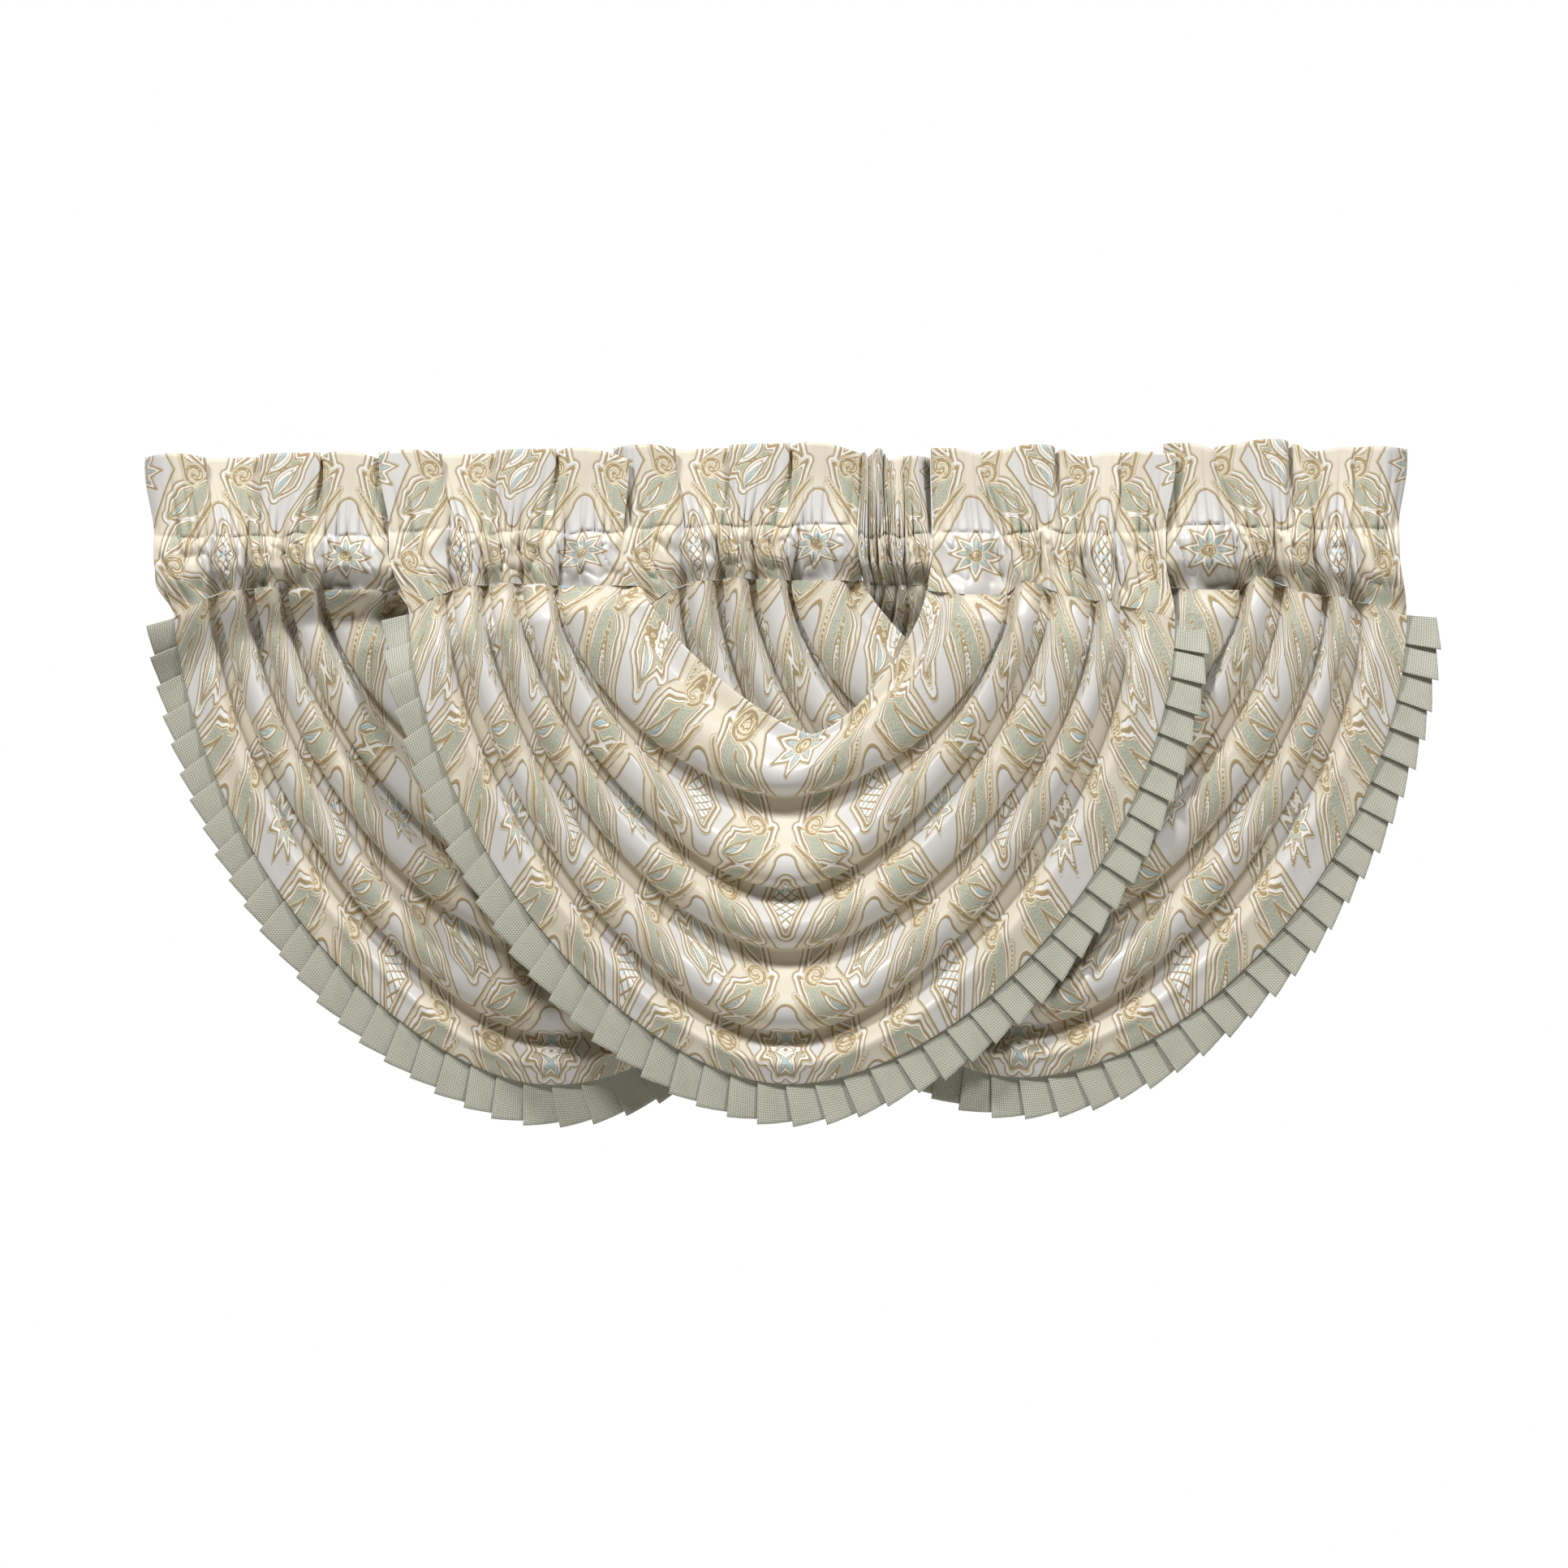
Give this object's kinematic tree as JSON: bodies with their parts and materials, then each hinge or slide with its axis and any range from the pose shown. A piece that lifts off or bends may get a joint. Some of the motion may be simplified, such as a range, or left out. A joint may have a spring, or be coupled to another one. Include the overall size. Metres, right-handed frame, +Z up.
{
  "type": "waterfall valance",
  "caption": "Rod-pocket waterfall valances in patterned jacquard, with ruffled headings, deep swag folds and a pleated sage trim.",
  "frame": {"origin": "middle of the top edge of the headings; the rod's centre line is 148 mm below it", "axes": "+Z up, front faces -Y, +X to the right seen from the front, along the rod"},
  "size_m": [1.6997, 0.116, 0.9002],
  "materials": {
    "jacquard": "cream twill and silver satin with a raised taupe, sage and pale blue pattern",
    "sage_trim": "plain sage-grey basket weave, matte"
  },
  "bodies": {
    "root": {"valance1_swag": "jacquard", "valance1_trim": "sage_trim", "valance1_heading_left": "jacquard", "valance1_heading_right": "jacquard", "valance2_swag": "jacquard", "valance2_trim": "sage_trim", "valance2_heading_left": "jacquard", "valance2_heading_right": "jacquard", "valance3_swag": "jacquard", "valance3_trim": "sage_trim", "valance3_heading_left": "jacquard", "valance3_heading_right": "jacquard"}
  },
  "joints": []
}
